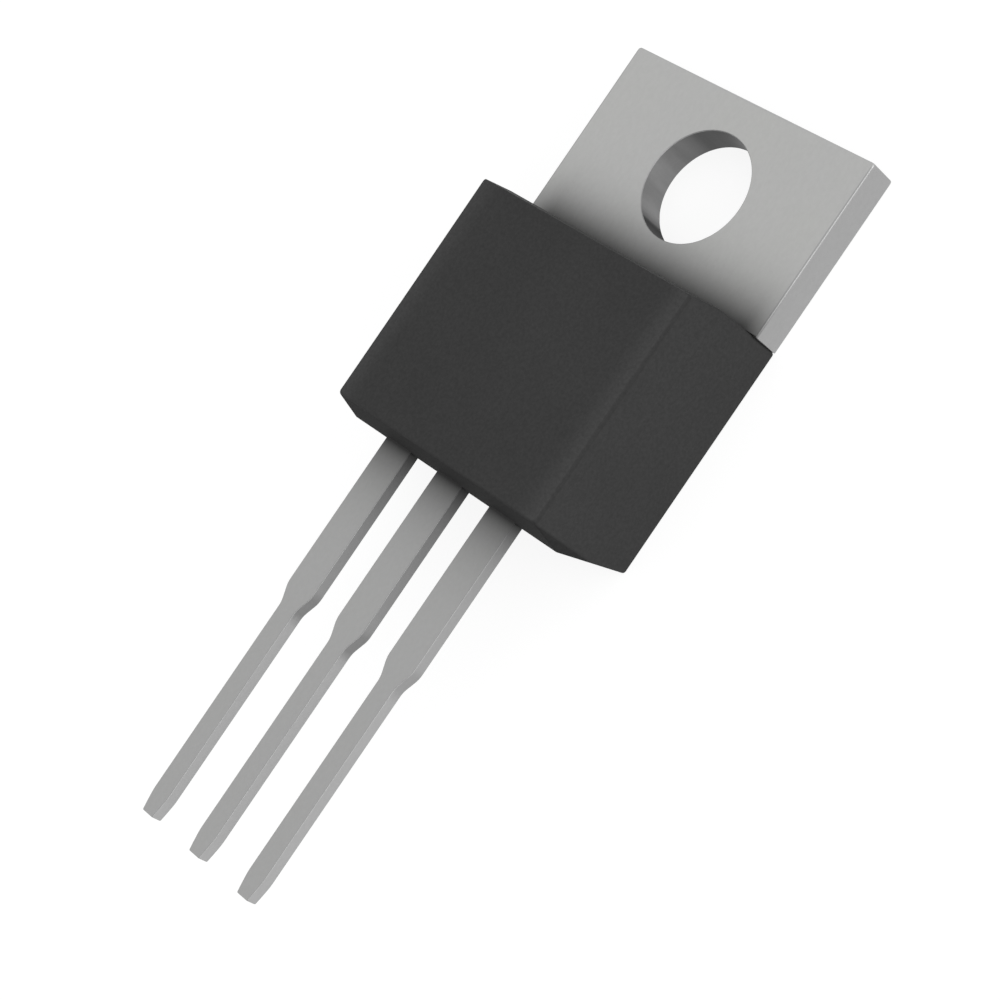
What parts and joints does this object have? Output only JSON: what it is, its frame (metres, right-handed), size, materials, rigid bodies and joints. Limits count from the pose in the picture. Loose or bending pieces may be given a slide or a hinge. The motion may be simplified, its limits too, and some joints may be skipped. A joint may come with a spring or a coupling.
{
  "type": "transient voltage suppressor diode",
  "caption": "Power package with a dark moulded case, a drilled heatsink tab and a row of flat through-hole leads, made to clamp voltage surges.",
  "frame": {"origin": "on the axis of the mounting hole, at the back face of the tab", "axes": "+Z out of the front face of the case, +Y from the hole towards the tab's free edge, with the leads running towards -Y, and X across the width"},
  "size_m": [0.0106, 0.0288, 0.0043],
  "materials": {
    "moulded_epoxy": "fine spark-textured moulding compound, dark grey-black, slightly polished along the long edges",
    "tin_plate": "matte tin plate over copper, soft grain, bright broken edges",
    "silicon": "polished silicon, sealed inside",
    "copper_clip": "bare rolled copper, sealed inside",
    "solder": "dull reflowed solder, sealed inside"
  },
  "bodies": {
    "root": {"moulded_case": "moulded_epoxy", "tab_frame": "tin_plate", "left_lead": "tin_plate", "right_lead": "tin_plate", "left_chip": "silicon", "right_chip": "silicon", "left_die_solder": "solder", "right_die_solder": "solder", "left_clip": "copper_clip", "right_clip": "copper_clip", "left_contact_solder": "solder", "right_contact_solder": "solder", "left_post_solder": "solder", "right_post_solder": "solder"}
  },
  "joints": []
}
